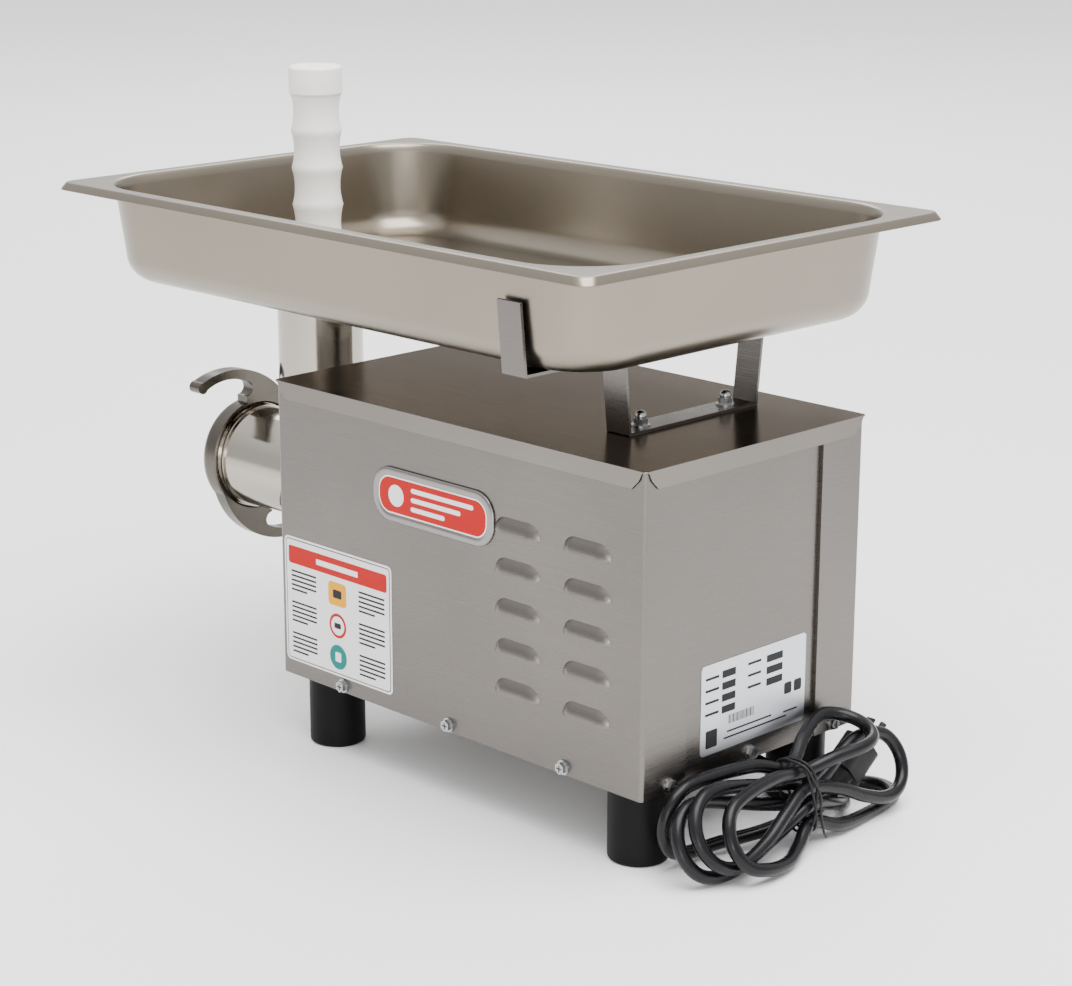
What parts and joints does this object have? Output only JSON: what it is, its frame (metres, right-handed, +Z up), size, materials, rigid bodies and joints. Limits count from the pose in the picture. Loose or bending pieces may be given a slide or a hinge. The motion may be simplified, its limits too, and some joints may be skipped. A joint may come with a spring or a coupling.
{
  "type": "electric meat grinder",
  "caption": "Bench-top electric meat grinder: steel housing with a geared motor, front grinding head with feed tube, tray, pusher, ring nut and mains cord.",
  "frame": {"origin": "on the floor under the middle of the box that holds the machine without its cord; x = 0 is the axis of the head", "axes": "+Z up; the head points along -Y; +X is the louvered side, on the left of someone who faces the ring nut"},
  "size_m": [0.345, 0.6016, 0.4668],
  "materials": {
    "body_steel": "fine horizontal brushed grain",
    "cover_steel": "bright, lightly brushed, almost mirror-like",
    "tray_steel": "satin, slightly warm",
    "head_steel": "polished stainless",
    "ring_steel": "satin cast stainless",
    "zinc": "bright zinc plate",
    "rubber": "matt black",
    "pusher_plastic": "satin off-white",
    "badge": "glossy red inlay in a grey bezel",
    "side_label": "printed film",
    "rating_label": "printed silver film",
    "tool_steel": "ground tool steel",
    "cast_aluminium": "as cast",
    "gear_steel": "machined, oiled",
    "bearing_steel": "ground",
    "laminations": "stacked sheet",
    "copper_wire": "enamelled copper",
    "motor_paint": "semi-gloss dark grey",
    "fan_plastic": "moulded black",
    "capacitor_plastic": "moulded off-white",
    "switch_plastic": "moulded black",
    "start_plastic": "green",
    "stop_plastic": "red",
    "knob_plastic": "moulded black",
    "cord_rubber": "soft gloss black",
    "plug_rubber": "moulded black, brass blades",
    "brass": "machined",
    "washer_nylon": "natural nylon"
  },
  "bodies": {
    "housing": {"base_plate": "body_steel", "front_panel": "body_steel", "rear_panel": "body_steel", "louvered_side_panel": "body_steel", "plain_side_panel": "body_steel", "top_cover": "cover_steel", "panel_screws": "zinc", "foot_front_right": "rubber", "foot_front_left": "rubber", "foot_rear_right": "rubber", "foot_rear_left": "rubber", "foot_bolts": "zinc", "name_badge": "badge", "side_label": "side_label", "rating_label": "rating_label", "tray_bracket": "body_steel", "bracket_nuts": "zinc", "head_socket": "cast_aluminium", "socket_bolts": "zinc", "head_pin": "zinc", "gearbox_case": "cast_aluminium", "gearbox_cover": "cast_aluminium", "gearbox_bolts": "zinc", "output_front_bearing": "bearing_steel", "output_rear_bearing": "bearing_steel", "output_seal": "rubber", "layshaft_bearings": "bearing_steel", "motor_bearings": "bearing_steel", "stator_core": "laminations", "stator_windings": "copper_wire", "motor_housing": "motor_paint", "motor_end_cap": "cast_aluminium", "run_capacitor": "capacitor_plastic", "switch_body": "switch_plastic", "cord_gland": "cord_rubber", "cord_lead": "cord_rubber", "cord_hank": "cord_rubber", "plug": "plug_rubber"},
    "output_spindle": {"output_shaft": "gear_steel", "output_gear": "gear_steel"},
    "layshaft_group": {"layshaft": "gear_steel", "layshaft_gear": "gear_steel"},
    "motor_rotor": {"motor_shaft": "gear_steel", "rotor_core": "laminations", "motor_fan": "fan_plastic"},
    "head": {"grinder_head": "head_steel", "plate_pin": "zinc", "thrust_washer": "washer_nylon"},
    "auger_group": {"auger": "head_steel", "knife": "tool_steel"},
    "plate_group": {"cutting_plate": "tool_steel"},
    "ring_group": {"ring_nut": "ring_steel"},
    "tray_group": {"tray": "tray_steel", "tray_collar": "tray_steel"},
    "pusher_group": {"pusher": "pusher_plastic"},
    "clamp_pad_group": {"clamp_pad": "brass"},
    "clamp_screw_group": {"clamp_screw": "zinc", "clamp_knob": "knob_plastic"},
    "start_group": {"start_button": "start_plastic"},
    "stop_group": {"stop_button": "stop_plastic"}
  },
  "joints": [
    {"name": "spindle_turn", "type": "hinge", "parent": "housing", "child": "output_spindle", "pos_m": [0, -0.0426, 0.159], "axis": [0, -1, 0], "continuous": true},
    {"name": "layshaft_turn", "type": "hinge", "parent": "housing", "child": "layshaft_group", "pos_m": [0.06365, -0.0426, 0.16569], "axis": [0, -1, 0], "continuous": true},
    {"name": "motor_turn", "type": "hinge", "parent": "housing", "child": "motor_rotor", "pos_m": [0.0349, 0.0174, 0.12539], "axis": [0, -1, 0], "continuous": true},
    {"name": "head_slide", "type": "slide", "parent": "housing", "child": "head", "axis": [0, -1, 0], "range_m": [0, 0.07]},
    {"name": "auger_turn", "type": "hinge", "parent": "head", "child": "auger_group", "pos_m": [0, -0.1726, 0.159], "axis": [0, -1, 0], "continuous": true},
    {"name": "plate_slide", "type": "slide", "parent": "head", "child": "plate_group", "axis": [0, -1, 0], "range_m": [0, 0.012]},
    {"name": "ring_turn", "type": "hinge", "parent": "plate_group", "child": "ring_group", "pos_m": [0, -0.2626, 0.159], "axis": [0, -1, 0], "range_deg": [0, 1080]},
    {"name": "tray_lift", "type": "slide", "parent": "head", "child": "tray_group", "axis": [0, 0, 1], "range_m": [0, 0.08]},
    {"name": "pusher_lift", "type": "slide", "parent": "tray_group", "child": "pusher_group", "axis": [0, 0, 1], "range_m": [0, 0.15]},
    {"name": "clamp_pad_slide", "type": "slide", "parent": "housing", "child": "clamp_pad_group", "axis": [1, 0, 0], "range_m": [0, 0.003]},
    {"name": "clamp_turn", "type": "hinge", "parent": "clamp_pad_group", "child": "clamp_screw_group", "pos_m": [0.05, -0.1126, 0.159], "axis": [1, 0, 0], "range_deg": [0, 720.01]},
    {"name": "start_press", "type": "slide", "parent": "housing", "child": "start_group", "axis": [1, 0, 0], "range_m": [0, 0.004], "stiffness_N_per_m": 400, "springref_m": -0.003},
    {"name": "stop_press", "type": "slide", "parent": "housing", "child": "stop_group", "axis": [1, 0, 0], "range_m": [0, 0.004], "stiffness_N_per_m": 400, "springref_m": -0.003}
  ],
  "couplings": [
    {"joint": "layshaft_turn", "follows": "spindle_turn", "ratio": -3},
    {"joint": "motor_turn", "follows": "spindle_turn", "ratio": 10.2},
    {"joint": "auger_turn", "follows": "spindle_turn", "ratio": 1},
    {"joint": "plate_slide", "follows": "ring_turn", "m_per_rad": 0.00063662},
    {"joint": "clamp_turn", "follows": "clamp_pad_slide", "rad_per_m": 4188.8}
  ]
}
